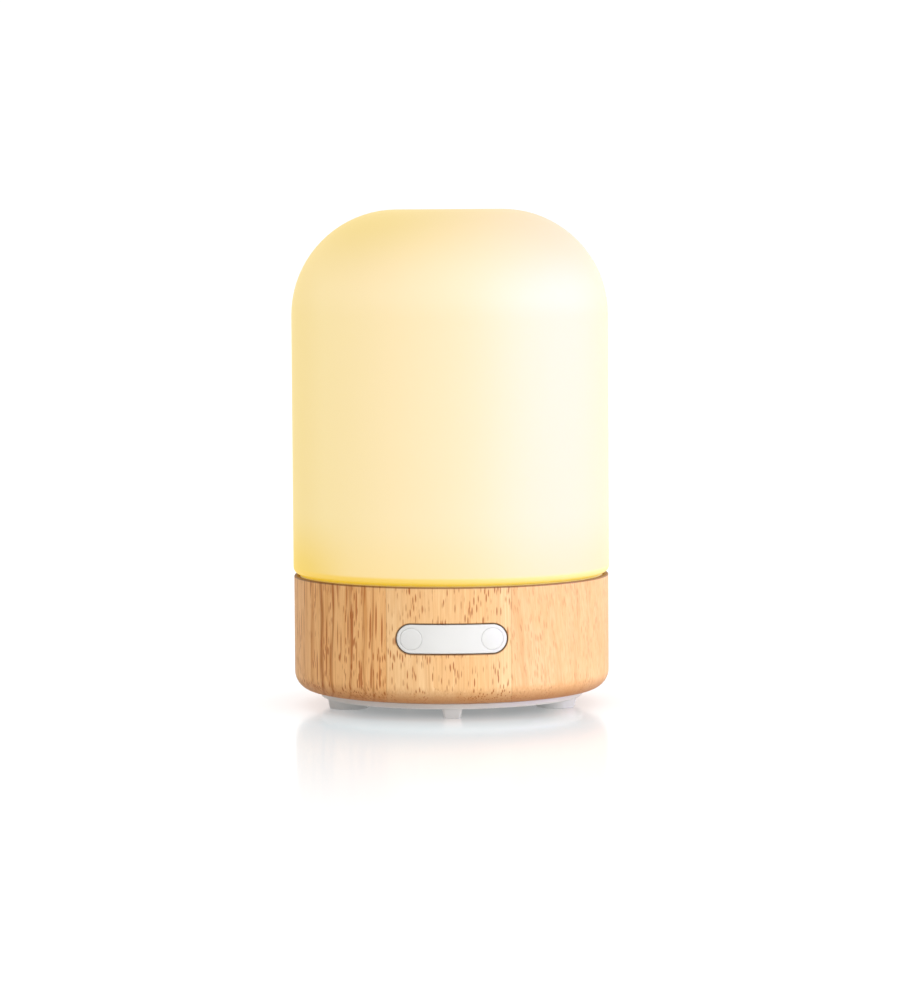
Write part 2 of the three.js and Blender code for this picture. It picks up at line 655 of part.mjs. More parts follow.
// ---------------------------------------------------------------- leads inside the base
const fanRoute = [
  [-15.7, 4, 8.4], [-19, 1.5, 8.4], [-21, -2, 9.5], [-21.5, -4.6, 12.2],
  [-21.5, -5.3, 14.8], [-21.5, -6.9, 16.2], [-21.5, -8.8, 15.4],
];
const transducerRoute = [
  [0, 0, 27.2], [0, 0.4, 24.6], [4, -0.5, 22], [12, -3.2, 20], [17.4, -6.2, 18], [18, -8.4, 15.4],
];
const lightRoute = [[22, -10.2, 27.2], [23, -9.6, 25], [25, -9.2, 20], [25.6, -9, 15.4]];
const inletRoute = [
  [5.2, 30.6, 11.8], [8, 30.6, 9.8], [13, 29.1, 9.2], [17.4, 26.7, 9.2], [21, 21.5, 9],
  [22, 10, 9], [22, 0, 9.6], [22.5, -4.4, 11.8], [22.5, -5.2, 14.8], [22.5, -6.8, 16.2], [22.5, -8.8, 15.4],
];
add("fan_lead", lead(fanRoute, LEAD, 16), "red_wire");
add("transducer_lead", lead(transducerRoute, LEAD, 14), "black_wire");
add("led_lead", lead(lightRoute, LEAD, 8), "red_wire");
add("jack_lead", lead(inletRoute, LEAD, 30), "black_wire");

// A flat cable from the back of the key board down to the main board.
function ribbonShape() {
  const front = keyBoard.postFront;
  const edge = [
    [front, 19.2], [front, 17], [front + 1.2, onBoard],
    [front + 2, onBoard], [front + 0.7, 17.2], [front + 0.7, 19.2],
  ];
  const outline = new THREE.Shape(edge.map(([y, z]) => new THREE.Vector2(y, z)));
  const made = new THREE.ExtrudeGeometry(outline, { depth: 5, bevelEnabled: false });
  return made.rotateX(Math.PI / 2).rotateZ(Math.PI / 2).translate(-2.5, 0, 0);
}

add("button_ribbon", ribbonShape(), "ribbon_grey");

export default assembly;
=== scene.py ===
"""The looks of an essential oil diffuser.

Finer shells over the CAD frame, a procedural material on every piece, and the floor, light and camera.
"""
import json
import math

import bmesh
import bpy
from mathutils import Matrix, Vector


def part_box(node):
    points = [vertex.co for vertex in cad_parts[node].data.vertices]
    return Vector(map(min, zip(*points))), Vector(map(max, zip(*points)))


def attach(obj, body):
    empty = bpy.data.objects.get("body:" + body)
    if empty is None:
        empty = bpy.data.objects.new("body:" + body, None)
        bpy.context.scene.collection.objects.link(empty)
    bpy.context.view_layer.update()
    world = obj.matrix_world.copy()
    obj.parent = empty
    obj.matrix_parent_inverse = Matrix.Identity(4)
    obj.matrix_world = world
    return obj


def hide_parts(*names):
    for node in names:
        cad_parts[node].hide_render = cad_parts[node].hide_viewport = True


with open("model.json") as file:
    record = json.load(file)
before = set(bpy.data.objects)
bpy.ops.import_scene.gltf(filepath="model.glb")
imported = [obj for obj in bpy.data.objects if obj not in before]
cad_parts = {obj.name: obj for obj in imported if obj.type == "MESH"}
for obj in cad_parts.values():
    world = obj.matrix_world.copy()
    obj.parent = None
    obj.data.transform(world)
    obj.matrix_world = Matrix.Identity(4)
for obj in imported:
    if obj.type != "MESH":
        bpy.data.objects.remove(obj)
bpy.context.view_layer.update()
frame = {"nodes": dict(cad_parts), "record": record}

MM = 0.001
# how many facets a round piece has, by its size
LARGE = 224
MEDIUM = 128
SMALL = 64
TINY = 32
SHARP = math.radians(32)  # an edge that turns by more than this stays sharp


# ---------------------------------------------------------------- sizes, in mm, from the frame
def node_box(node):
    """A CAD node's lowest and highest corners, in mm."""
    low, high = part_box(node)
    return low / MM, high / MM


def middle_of(node):
    low, high = node_box(node)
    return (low + high) / 2


dome_low, dome_high = node_box("dome_cover")
wood_low, wood_high = node_box("wood_ring")
cover_low, cover_high = node_box("bottom_cover")
guide_low, guide_high = node_box("mist_guide")
tank_low, tank_high = node_box("tank_housing")
plate_low, plate_high = node_box("button_plate")
key_boxes = {side: node_box(side + "_button") for side in ("light", "mist")}
jack_low, jack_high = node_box("dc_jack")

DOME_R = dome_high.x
SEAM = dome_low.z
TOP = dome_high.z
WOOD_R = wood_high.x
WOOD_BOTTOM = wood_low.z
WOOD_TOP = wood_high.z
KEY_Z = (plate_low.z + plate_high.z) / 2
JACK_Z = (jack_low.z + jack_high.z) / 2
WINDOW = (30.8, 8.4)  # width and height of the stadium cut through the wood for the key plate


# ---------------------------------------------------------------- outlines
def rounded(corners, steps=6):
    """The outline through corners that are (x, y) or (x, y, fillet radius), with the fillets turned."""
    points = []
    count = len(corners)
    for i, corner in enumerate(corners):
        here = Vector(corner[:2])
        radius = corner[2] if len(corner) > 2 else 0
        if radius <= 0:
            points.append(here)
            continue
        before = (Vector(corners[i - 1][:2]) - here).normalized()
        after = (Vector(corners[(i + 1) % count][:2]) - here).normalized()
        half = before.angle(after) / 2
        reach = radius / math.tan(half)
        centre = here + (before + after).normalized() * radius / math.sin(half)
        start = here + before * reach - centre
        stop = here + after * reach - centre
        turn = start.angle_signed(stop)
        for k in range(steps + 1):
            points.append(centre + Matrix.Rotation(-turn * k / steps, 2) @ start)
    return points


def stadium(width, height, count=SMALL, grow=0, straight=24):
    """Points of a stadium in its own plane, its long side along x, standing out by grow all round."""
    radius = height / 2 + grow
    reach = (width - height) / 2
    points = []
    for side, start in ((1, -90), (-1, 90)):
        for k in range(count // 2 + 1):
            a = math.radians(start + 180 * k / (count // 2))
            points.append(Vector((side * reach + radius * math.cos(a), radius * math.sin(a))))
        along = [side * reach * (1 - 2 * k / straight) for k in range(1, straight)]
        points += [Vector((x, side * radius)) for x in along]
    return points


def rectangle(x0, y0, x1, y1, corner=0.0, steps=6):
    """The outline between two opposite corners, its own corners filleted."""
    return rounded([(x0, y0, corner), (x1, y0, corner), (x1, y1, corner), (x0, y1, corner)], steps)


def circle(radius, count=SMALL, x=0):
    """Points of a circle in its own plane, its middle at x."""
    angles = [2 * math.pi / count * k for k in range(count)]
    return [Vector((x + radius * math.cos(a), radius * math.sin(a))) for a in angles]


# ---------------------------------------------------------------- meshes
def object_from(name, bm):
    """A mesh object in metres from a bmesh in mm, its normals outwards."""
    bmesh.ops.remove_doubles(bm, verts=bm.verts, dist=1e-5)
    bmesh.ops.recalc_face_normals(bm, faces=bm.faces)
    bmesh.ops.scale(bm, vec=(MM, MM, MM), verts=bm.verts)
    mesh = bpy.data.meshes.new(name)
    bm.to_mesh(mesh)
    bm.free()
    made = bpy.data.objects.new(name, mesh)
    bpy.context.scene.collection.objects.link(made)
    return made


def strip_cap(bm, row):
    """Closes a loop, whose points pair up above and below each other, with upright strips."""
    columns = {}
    for vert in row:
        columns.setdefault(round(vert.co.x, 3), []).append(vert)
    stacks = [sorted(columns[x], key=lambda v: v.co.z) for x in sorted(columns)]
    for a, b in zip(stacks, stacks[1:]):
        corners = [a[0], b[0]]
        corners += [v for v in (b[-1], a[-1]) if v not in corners]
        bm.faces.new(corners)


def loft(name, loops, upright=False):
    """A skin over loops of 3-D points, capped at both ends: in upright strips where the front is curved."""
    bm = bmesh.new()
    rows = [[bm.verts.new(p) for p in loop] for loop in loops]
    for a, b in zip(rows, rows[1:]):
        for i in range(len(a)):
            j = (i + 1) % len(a)
            bm.faces.new((a[i], a[j], b[j], b[i]))
    for row in (rows[0], rows[-1]):
        if upright:
            strip_cap(bm, row)
        else:
            bm.faces.new(row)
    return object_from(name, bm)


def revolve(name, outline, facets=LARGE, x=0, y=0):
    """An outline of (radius, height) turned about a vertical axis at x, y."""
    on_axis = outline[0][0] == 0 and outline[-1][0] == 0
    bm = bmesh.new()
    turn = 2 * math.pi / facets
    rows = []
    for k in range(facets):
        c, s = math.cos(turn * k), math.sin(turn * k)
        rows.append([bm.verts.new((x + r * c, y + r * s, z)) for r, z in outline])
    count = len(outline)
    for k in range(facets):
        a, b = rows[k], rows[(k + 1) % facets]
        for i in range(count - 1 if on_axis else count):
            j = (i + 1) % count
            corners = [a[i], a[j], b[j], b[i]]
            if outline[i][0] == 0:
                corners.remove(b[i])
            if outline[j][0] == 0:
                corners.remove(b[j])
            bm.faces.new(corners)
    return object_from(name, bm)


def turned(name, corners, facets=LARGE, x=0, y=0, steps=6):
    """Corners of (radius, height) or (radius, height, fillet) turned about a vertical axis at x, y."""
    return revolve(name, rounded(corners, steps), facets, x, y)


def prism(name, outline, low, high, edge=0.0, steps=4):
    """An outline in the XY plane stretched from low to high, its rims rounded with the radius edge."""
    count = len(outline)
    normals = []
    for i in range(count):
        along = (outline[(i + 1) % count] - outline[i - 1]).normalized()
        normals.append(Vector((along.y, -along.x)))
    levels = [(low, 0.0), (high, 0.0)]
    if edge > 0:
        quarter = [math.pi / 2 * k / steps for k in range(steps + 1)]
        levels = [(low + edge * (1 - math.sin(a)), edge * (1 - math.cos(a))) for a in reversed(quarter)]
        levels += [(high - edge * (1 - math.sin(a)), edge * (1 - math.cos(a))) for a in quarter]
    loops = []
    for z, inset in levels:
        loops.append([(p.x - n.x * inset, p.y - n.y * inset, z) for p, n in zip(outline, normals)])
    return loft(name, loops)


def shift(made, x=0, y=0, z=0):
    made.data.transform(Matrix.Translation((x * MM, y * MM, z * MM)))
    return made


def spin(made, degrees, axis="Z"):
    """Turns a piece about an axis through the origin."""
    made.data.transform(Matrix.Rotation(math.radians(degrees), 4, axis))
    return made


def turn_to_y(made):
    """Lays a piece made along +Z down so that it runs along +Y, its own Y pointing down."""
    return spin(made, -90, "X")


def combine(target, tools, operation):
    """The target joined with, or cut by, the tools, which are used up."""
    for tool in tools:
        step = target.modifiers.new(operation.lower(), "BOOLEAN")
        step.operation = operation
        step.solver = "EXACT"
        step.object = tool
    graph = bpy.context.evaluated_depsgraph_get()
    graph.update()
    result = bpy.data.meshes.new_from_object(target.evaluated_get(graph))
    target.modifiers.clear()
    target.data = result
    for tool in tools:
        bpy.data.objects.remove(tool)
    return target


def cut(target, *tools):
    return combine(target, tools, "DIFFERENCE")


def join(target, *tools):
    return combine(target, tools, "UNION")


def smooth(made):
    """Smooth shading with sharp edges kept, and normals led by the large faces."""
    bm = bmesh.new()
    bm.from_mesh(made.data)
    for face in bm.faces:
        face.smooth = True
    for edge in bm.edges:
        edge.smooth = len(edge.link_faces) == 2 and edge.calc_face_angle(0) < SHARP
    bm.to_mesh(made.data)
    bm.free()
    weighted = made.modifiers.new("normals", "WEIGHTED_NORMAL")
    weighted.keep_sharp = True
    weighted.weight = 80


def place(made, body, slot, node):
    """Gives a piece its body and its finish, and lets it stand for a CAD node."""
    smooth(made)
    made.data.materials.clear()
    made.data.materials.append(finishes[slot])
    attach(made, body)
    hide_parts(node)


# ---------------------------------------------------------------- materials
def colour(red, green, blue):
    """Linear colour from 0-255 display values."""
    def linear(v):
        v /= 255
        return v / 12.92 if v <= 0.04045 else ((v + 0.055) / 1.055) ** 2.4
    return (linear(red), linear(green), linear(blue), 1.0)


def darker(shade, share):
    return tuple(c * share for c in shade[:3]) + (1.0,)


class Tree:
    """A material's node tree with short calls for the nodes used here. Lengths are in metres."""

    def __init__(self, name):
        self.material = bpy.data.materials.new(name)
        self.material.use_nodes = True
        self.nodes = self.material.node_tree.nodes
        self.links = self.material.node_tree.links
        self.shader = self.nodes["Principled BSDF"]
        self.place = self.nodes.new("ShaderNodeTexCoord").outputs["Object"]

    def set(self, **values):
        """Links or sets the shader's sockets, which are named with _ for a space."""
        for key, value in values.items():
            socket = self.shader.inputs[key.replace("_", " ")]
            if isinstance(value, bpy.types.NodeSocket):
                self.links.new(value, socket)
            else:
                socket.default_value = value

    def node(self, kind, inputs=(), out=0, **settings):
        """A new node with its inputs linked or set. Gives back one of its outputs."""
        made = self.nodes.new(kind)
        for key, value in settings.items():
            setattr(made, key, value)
        for key, value in dict(inputs).items():
            if isinstance(value, bpy.types.NodeSocket):
                self.links.new(value, made.inputs[key])
            else:
                made.inputs[key].default_value = value
        return made.outputs[out]

    def math(self, operation, *values):
        return self.node("ShaderNodeMath", enumerate(values), operation=operation)

    def plus(self, a, b):
        return self.math("ADD", a, b)

    def minus(self, a, b):
        return self.math("SUBTRACT", a, b)

    def times(self, a, b):
        return self.math("MULTIPLY", a, b)

    def length(self, x, y):
        """How far the point x, y is from the origin."""
        return self.math("SQRT", self.plus(self.times(x, x), self.times(y, y)))

    def axis(self, letter):
        return self.node("ShaderNodeSeparateXYZ", {0: self.place}, out=letter)

    def cells(self, x, y, z, vector=None):
        """The place divided by a length along each axis, so that a texture's cell is that long."""
        return self.node("ShaderNodeMapping", {
            "Vector": vector or self.place, "Scale": (1 / x, 1 / y, 1 / z)})

    def cubes(self, size):
        return self.cells(size, size, size)

    def noise(self, vector, detail=2.0, roughness=0.5, distortion=0.0):
        return self.node("ShaderNodeTexNoise", {
            "Vector": vector, "Scale": 1.0, "Detail": detail, "Roughness": roughness,
            "Distortion": distortion})

    def voronoi(self, vector, **settings):
        """How far each place is from the nearest of the points scattered one to a cell."""
        return self.node("ShaderNodeTexVoronoi", {"Vector": vector, "Scale": 1.0}, out="Distance", **settings)

    def grains(self, vector, size):
        """Scattered ellipsoids, 1 inside and 0 outside. Their size is a share of the texture cell."""
        return self.range(self.voronoi(vector), size * 0.6, size, 1.0, 0.0)

    def range(self, value, low, high, to_low=0.0, to_high=1.0, smooth=False):
        return self.node("ShaderNodeMapRange", {
            "Value": value, "From Min": low, "From Max": high, "To Min": to_low, "To Max": to_high},
            interpolation_type="SMOOTHSTEP" if smooth else "LINEAR")

    def mix(self, factor, a, b):
        return self.node("ShaderNodeMix", {0: factor, 6: a, 7: b}, out=2, data_type="RGBA")

    def bump(self, height, distance, strength):
        return self.node("ShaderNodeBump", {"Height": height, "Distance": distance, "Strength": strength})


def frosted_glass():
    """Sand-blasted opal glass. The warm light of the lamps inside is painted on it as a glow.

    The painted glow is deepest gold in the lower lip, then towards the top.
    Painted shade darkens the left side, most in the lower left corner, and the top.
    A painted highlight pales the right end of the lip.
    """
    t = Tree("frosted_glass")
    x, z = t.axis("X"), t.axis("Z")
    low, top = SEAM * MM, TOP * MM
    # each of these goes from 0 to 1 up the wall
    lip = t.range(z, low + 0.0014, low + 0.0025, smooth=True)
    foot = t.range(z, low, low + 0.020, smooth=True)
    crown = t.range(z, top - 0.026, top, smooth=True)
    # and each of these from left to right, from painted shade on the left to painted light on the right
    across = t.range(x, -0.030, 0.042, smooth=True)
    corner = t.range(x, -0.046, -0.026, smooth=True)
    side = t.range(x, -0.046, -0.034, smooth=True)

    # painted glow: the lamps' light through the glass, a deeper gold at the lip and the top
    glow = t.mix(foot, colour(216, 184, 0), colour(212, 188, 14))
    glow = t.mix(crown, glow, colour(205, 172, 0))
    # the lip's painted glow is deeper on the left as painted shade, paler on the right as a painted highlight
    glow = t.mix(lip, t.mix(across, colour(214, 174, 0), colour(222, 192, 40)), glow)
    cloud = t.range(t.noise(t.cells(0.03, 0.03, 0.04), detail=1.0), 0.3, 0.7, 0.0, 0.10)
    glow = t.mix(cloud, glow, colour(222, 196, 60))

    # painted shade: the body is darker on the left, most in the lower left corner, and darker at the top
    foot_body_shaded = t.mix(corner, colour(124, 104, 90), colour(152, 147, 168))
    wall_body_shaded = t.mix(side, colour(134, 123, 159), colour(157, 150, 184))
    lip_body_shaded = t.mix(across, colour(152, 136, 104), colour(172, 160, 148))
    crown_body_shaded = t.mix(across, colour(124, 122, 120), colour(124, 126, 160))
    body = t.mix(lip, lip_body_shaded, t.mix(foot, foot_body_shaded, wall_body_shaded))
    body = t.mix(crown, body, crown_body_shaded)

    grain = t.noise(t.cubes(0.00035))
    t.set(Base_Color=body, Emission_Color=glow, Emission_Strength=1.0, Specular_IOR_Level=0.5)
    t.set(Roughness=t.range(grain, 0.3, 0.7, 0.5, 0.56), Normal=t.bump(grain, 0.00001, 0.5))
    return t.material


# dark growth lines in the left stave: where across the front, how wide to each side, and how strong
GROWTH_LINES = ((-0.0358, 0.0008, 0.95), (-0.0336, 0.0005, 0.85), (-0.0287, 0.0006, 0.6),
                (-0.0222, 0.0006, 0.7), (-0.0248, 0.0005, 0.55))


def rubberwood():
    """Glued rubberwood staves with the grain upright: fibres, growth veins and long open pores."""
    t = Tree("rubberwood")
    x, y, z = t.axis("X"), t.axis("Y"), t.axis("Z")
    width, depth = 0.0345, 0.033  # a stave's
    from_left, from_front = t.plus(x, 0.0525), t.plus(y, 0.0775)
    column = t.math("FLOOR", t.math("DIVIDE", from_left, width))
    row = t.math("FLOOR", t.math("DIVIDE", from_front, depth))
    stave = t.plus(column, t.times(row, 3.0))
    left = t.math("LESS_THAN", column, 0.5)
    right = t.math("GREATER_THAN", column, 1.5)
    # each stave is cut from its own place in the tree, so its texture is moved and tilted
    lean = t.plus(t.times(right, 0.12), t.times(left, -0.02))
    moved = t.node("ShaderNodeCombineXYZ", {
        0: t.plus(t.plus(x, t.times(z, lean)), t.times(stave, 0.0371)),
        1: t.plus(y, t.times(stave, 0.0213)),
        2: t.plus(z, t.times(stave, 0.0557))})
    wander = t.noise(t.cells(0.012, 0.012, 0.04, moved))
    fibres = t.noise(t.cells(0.00035, 0.00035, 0.012, moved), detail=3.0, roughness=0.6)
    bands = t.noise(t.cells(0.0024, 0.0024, 0.07, moved), detail=2.5, roughness=0.6, distortion=0.3)
    short = t.grains(t.cells(0.0006, 0.0006, 0.0040, moved), 0.37)
    long = t.grains(t.cells(0.0010, 0.0010, 0.0170, moved), 0.36)
    patches = t.noise(t.cells(0.0045, 0.0045, 0.009, moved))

    # a sine with many turns gives every stave a tone of its own
    tone = t.math("FRACT", t.times(t.math("SINE", t.times(stave, 12.9898)), 43.7585))
    base = t.mix(tone, colour(255, 218, 166), colour(252, 210, 155))
    base = t.mix(left, base, colour(250, 196, 134))
    base = t.mix(right, base, colour(252, 206, 154))
    base = t.mix(t.range(wander, 0.35, 0.7, 0.0, 0.45), base, colour(244, 180, 108))
    vein = t.times(t.range(bands, 0.50, 0.70), t.range(left, 0, 1, 0.28, 0.85))
    base = t.mix(vein, base, colour(206, 132, 60))
    bend = t.times(t.minus(wander, 0.5), 0.006)
    broken = t.range(fibres, 0.3, 0.5, 0.5, 1.0)
    for where, reach, strength in GROWTH_LINES:
        off = t.math("ABSOLUTE", t.plus(t.minus(x, where), bend))
        line = t.times(t.range(off, 0.0, reach, 1.0, 0.0, smooth=True), broken)
        base = t.mix(t.times(line, strength), base, colour(166, 92, 28))
    base = t.mix(t.range(fibres, 0.35, 0.75, 0.0, 0.5), base, colour(216, 150, 80))
    # pores: short dashes in patches, fewer on the right, and long streaks, mostly on the left
    dashes = t.times(short, t.range(patches, 0.42, 0.56, 0.08, 1.0))
    dashes = t.times(dashes, t.range(right, 0, 1, 1.0, 0.45))
    streaks = t.times(long, t.range(left, 0, 1, 0.1, 0.9))
    pores = t.math("MAXIMUM", dashes, streaks)
    base = t.mix(t.times(pores, 0.85), base, colour(170, 84, 14))
    # a hairline of glue between the staves
    along = t.math("FRACT", t.math("DIVIDE", from_left, width))
    inside = t.math("LESS_THAN", t.math("ABSOLUTE", t.minus(along, 0.5)), 0.497)
    base = t.mix(t.range(inside, 0, 1, 0.4, 0.0), base, colour(180, 128, 78))
    # painted shade: the turned lower edge faces down, so it is painted darker
    toe_painted_shade = t.range(z, (WOOD_BOTTOM + 0.5) * MM, (WOOD_BOTTOM + 5.5) * MM, 1.0, 0.0, smooth=True)
    base = t.mix(t.times(toe_painted_shade, 0.7), base, colour(172, 108, 54))
    # painted shadow: a dark line along the top edge, under the dome's lip, where the seam is in shade
    seam_painted_shadow = t.range(z, (WOOD_TOP - 0.5) * MM, (WOOD_TOP - 0.25) * MM, smooth=True)
    base = t.mix(t.times(seam_painted_shadow, 0.8), base, colour(104, 66, 30))
    # painted shadow too, round the window milled for the keys, where the gap round the key plate is in shade
    window_width, window_height = WINDOW
    straight = (window_width - window_height) / 2 * MM
    beyond = t.math("MAXIMUM", t.minus(t.math("ABSOLUTE", x), straight), 0.0)
    away = t.length(beyond, t.minus(z, KEY_Z * MM))
    near, far = (window_height / 2 + 0.1) * MM, (window_height / 2 + 0.4) * MM
    edge = t.times(t.range(away, near, far, 1.0, 0.0, smooth=True), t.math("LESS_THAN", y, 0.0))
    base = t.mix(t.times(edge, 0.8), base, colour(112, 72, 34))
    relief = t.minus(t.times(fibres, 0.3), pores)
    t.set(Base_Color=base, Specular_IOR_Level=0.22, Roughness=t.range(fibres, 0.3, 0.7, 0.44, 0.58))
    t.set(Normal=t.bump(relief, 0.00006, 0.5))
    return t.material


def moulded(name, shade, roughness, depth=0.000012):
    """Spark-eroded moulded plastic or rubber: slightly cloudy, with a fine leathery grain."""
    t = Tree(name)
    cloud = t.noise(t.cubes(0.02))
    grain = t.noise(t.cubes(0.00025), roughness=0.6)
    t.set(Base_Color=t.mix(t.range(cloud, 0.35, 0.65), darker(shade, 0.93), shade))
    t.set(Roughness=t.range(grain, 0.3, 0.7, roughness - 0.05, roughness + 0.05))
    t.set(Normal=t.bump(grain, depth, 0.6))
    return t.material


def metal(name, shade, roughness, along=(0.004, 0.0002, 0.0002)):
    """Plated or drawn metal with faint streaks along one axis."""
    t = Tree(name)
    streaks = t.noise(t.cells(*along), detail=3.0, roughness=0.6)
    t.set(Base_Color=t.mix(streaks, darker(shade, 0.8), shade), Metallic=1.0)
    t.set(Roughness=t.range(streaks, 0.3, 0.7, roughness - 0.08, roughness + 0.1))
    t.set(Normal=t.bump(streaks, 0.00001, 0.3))
    return t.material


def board_green():
    """Solder mask over copper tracks: paler lines on a grid, with tinned dots where they end."""
    t = Tree("board_green")
    tracks = t.voronoi(t.cubes(0.0045), feature="DISTANCE_TO_EDGE", distance="MANHATTAN")
    dots = t.voronoi(t.cubes(0.0032))
    line = t.range(tracks, 0.07, 0.1, 1.0, 0.0)
    pad = t.range(dots, 0.12, 0.16, 1.0, 0.0)
    mask = t.mix(line, colour(20, 84, 50), colour(40, 118, 72))
    weave = t.noise(t.cubes(0.0002), detail=1.0)
    t.set(Base_Color=t.mix(pad, mask, colour(190, 190, 184)))
    t.set(Roughness=t.range(weave, 0.3, 0.7, 0.34, 0.44), Normal=t.bump(line, 0.00003, 0.6))
    return t.material


def winding():
    """Enamelled copper wire wound round an upright core."""
    t = Tree("copper")
    wire = 0.00045
    turns = t.math("SINE", t.times(t.axis("Z"), 2 * math.pi / wire))
    cloud = t.noise(t.cells(0.001, 0.001, 0.0002))
    t.set(Base_Color=t.mix(cloud, colour(150, 78, 38), colour(206, 126, 72)), Metallic=0.9)
    t.set(Roughness=0.35, Normal=t.bump(turns, 0.0001, 0.6))
    return t.material


def lamp_package():
    """An LED's yellow phosphor, alight."""
    t = Tree("led_package")
    cloud = t.noise(t.cubes(0.0006))
    t.set(Base_Color=t.mix(cloud, colour(240, 214, 110), colour(252, 238, 170)), Roughness=0.4)
    t.set(Emission_Color=t.mix(cloud, colour(255, 214, 130), colour(255, 232, 176)))
    t.set(Emission_Strength=3.0)
    return t.material


def milky_plastic():
    """Translucent polypropylene. The warm light of the lamps behind it is painted on as a glow."""
    t = Tree("milky_plastic")
    cloud = t.noise(t.cells(0.015, 0.015, 0.03))
    grain = t.noise(t.cubes(0.0003))
    t.set(Base_Color=t.mix(cloud, colour(212, 206, 190), colour(224, 219, 206)))
    # painted glow: the lamps' light through the plastic
    t.set(Emission_Color=t.mix(cloud, colour(150, 118, 58), colour(170, 138, 76)))
    t.set(Emission_Strength=0.35, Roughness=t.range(grain, 0.3, 0.7, 0.32, 0.42))
    t.set(Normal=t.bump(grain, 0.00001, 0.5))
    return t.material


finishes = {
    "frosted_glass": frosted_glass(),
    "rubberwood": rubberwood(),
    "milky_plastic": milky_plastic(),
    "white_plastic": moulded("white_plastic", colour(233, 233, 231), 0.38),
    "silicone": moulded("silicone", colour(232, 232, 230), 0.55, depth=0.000008),
    "board_green": board_green(),
    "black_plastic": moulded("black_plastic", colour(34, 34, 36), 0.5),
    "led_package": lamp_package(),
    "steel": metal("steel", colour(196, 198, 200), 0.32),
    "brass": metal("brass", colour(212, 178, 98), 0.28),
    "copper": winding(),
    "aluminium": metal("aluminium", colour(206, 208, 210), 0.36, along=(0.0002, 0.0002, 0.004)),
    "red_wire": moulded("red_wire", colour(176, 42, 34), 0.45),
    "black_wire": moulded("black_wire", colour(36, 36, 38), 0.45),
    "ribbon_grey": moulded("ribbon_grey", colour(158, 160, 164), 0.5),
}


# ---------------------------------------------------------------- the dome
def make_dome():
    """A round-shouldered bell with the mist outlet in its flat top and a rolled lower lip."""
    wall, corner, outlet = 3.0, 30.0, 7.0
    lip, heel, rim = 2.0, 0.8, 0.9  # fillets of the lower edge outside and inside, and of the outlet
    inside = DOME_R - wall
    return turned("dome", [
        (DOME_R, SEAM, lip),
        (DOME_R, TOP, corner),
        (outlet, TOP, rim),
        (outlet, TOP - wall, rim),
        (inside, TOP - wall, corner - wall),
        (inside, SEAM, heel),
    ], steps=20)


place(make_dome(), "dome", "frosted_glass", "dome_cover")


# ---------------------------------------------------------------- the wood ring
def on_wall(points, z, radius):
    """Outline points in the front's own plane, laid on a cylinder of that radius."""
    return [(p.x, -math.sqrt(radius ** 2 - p.x ** 2), z + p.y) for p in points]


def front_solid(name, outline_at, levels):
    """A solid let into the front. outline_at(grow) is its outline, and levels are (radius, grow) pairs."""
    return loft(name, [on_wall(outline_at(grow), KEY_Z, radius) for radius, grow in levels], upright=True)


def stadium_at(size):
    return lambda grow: stadium(*size, grow=grow)


def circle_at(x, radius):
    return lambda grow: circle(radius + grow, SMALL, x)


def quarter_round(radius, size, outward=1):
    """(radius, grow) pairs that turn an edge by a quarter circle, ending on the surface at radius."""
    steps = 5
    pairs = []
    for k in range(steps + 1):
        a = math.pi / 2 * k / steps
        pairs.append((radius - size * (1 - math.sin(a)), outward * size * (1 - math.cos(a))))
    return pairs


def make_wood():
    """The ring with a rebate for the dome's lip, the key plate's window and the inlet's socket."""
    bore, rebate, step, milled = 35.6, 43.4, 1.8, 0.25
    ring = turned("wood", [
        (bore, WOOD_BOTTOM, 0.3),
        (WOOD_R, WOOD_BOTTOM, 5.4),
        (WOOD_R, WOOD_TOP, 0.35),
        (rebate, WOOD_TOP, 0.2),
        (rebate, WOOD_TOP - step),
        (bore, WOOD_TOP - step),
    ], steps=10)
    levels = [(bore - 4, 0), (WOOD_R - 0.5, 0)]
    levels += quarter_round(WOOD_R, milled) + [(WOOD_R + 1.5, milled)]
    window = front_solid("window", stadium_at(WINDOW), levels)
    socket = turned("socket", [(0, 30), (5.4, 30), (5.4, 44.2, 0.4), (6.2, 46), (0, 46)], SMALL)
    return cut(ring, window, shift(turn_to_y(socket), z=JACK_Z))


place(make_wood(), "base", "rubberwood", "wood_ring")

# ---------------------------------------------------------------- key plate and keys
PLATE = (30.42, 8.02)  # width and height, a hairline smaller than its window
FACE = WOOD_R - 0.12  # the radius of the plate's face, just under the wood's
KEY_R = 3.0


def make_plate():
    """The key plate, which follows the wood's curve, with a bore for each key."""
    levels = [(34, 0), (FACE - 0.7, 0)] + quarter_round(FACE, 0.3, outward=-1)
    plate = front_solid("key_plate", stadium_at(PLATE), levels)
    play, edge = 0.05, 0.05
    levels = [(32, 0), (FACE - 0.3, 0)] + quarter_round(FACE, edge) + [(FACE + 1, edge)]
    bores = []
    for low, high in key_boxes.values():
        bores.append(front_solid("bore", circle_at((low.x + high.x) / 2, KEY_R + play), levels))
    return cut(plate, *bores)


def make_key(name, x):
    """A round key with a softly crowned face."""
    rim, rise, narrowing, steps = FACE - 0.03, 0.16, KEY_R * 0.985, 12
    levels = [(30, 0), (FACE - 0.4, 0)]
    for k in range(steps + 1):
        a = math.pi / 2 * k / steps
        levels.append((rim + rise * math.sin(a), -narrowing * (1 - math.cos(a) ** 0.8)))
    return front_solid(name, circle_at(x, KEY_R), levels)


place(make_plate(), "base", "white_plastic", "button_plate")
for side, (low, high) in key_boxes.items():
    key = make_key(side + "_key", (low.x + high.x) / 2)
    place(key, side + "_key", "white_plastic", side + "_button")

# ---------------------------------------------------------------- the base cover and its feet
ROUND_FEET = ("foot_left", "foot_right", "foot_rear_left", "foot_rear_right")
BASE_SCREWS = [f"base_screw_{k}" for k in range(1, 5)]


